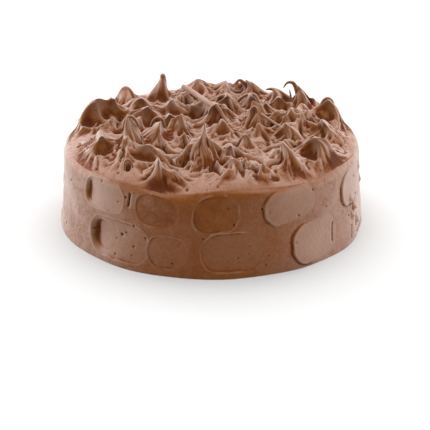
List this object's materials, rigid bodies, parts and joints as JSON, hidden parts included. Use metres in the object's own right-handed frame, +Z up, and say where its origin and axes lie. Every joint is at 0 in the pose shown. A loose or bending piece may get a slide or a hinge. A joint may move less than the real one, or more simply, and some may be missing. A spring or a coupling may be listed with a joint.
{
  "type": "chocolate cake",
  "caption": "Round layer cake all over in chocolate frosting, with flat knife dabs round the wall and pulled spoon peaks on top.",
  "frame": {"origin": "centre of the flat underside, on the surface that the cake stands on", "axes": "+Z up through the cake; the side that the picture shows looks towards -Y"},
  "size_m": [0.2082, 0.2075, 0.0891],
  "materials": {
    "frosting": "satin whipped chocolate frosting"
  },
  "bodies": {
    "root": {"cake": "frosting"}
  },
  "joints": []
}
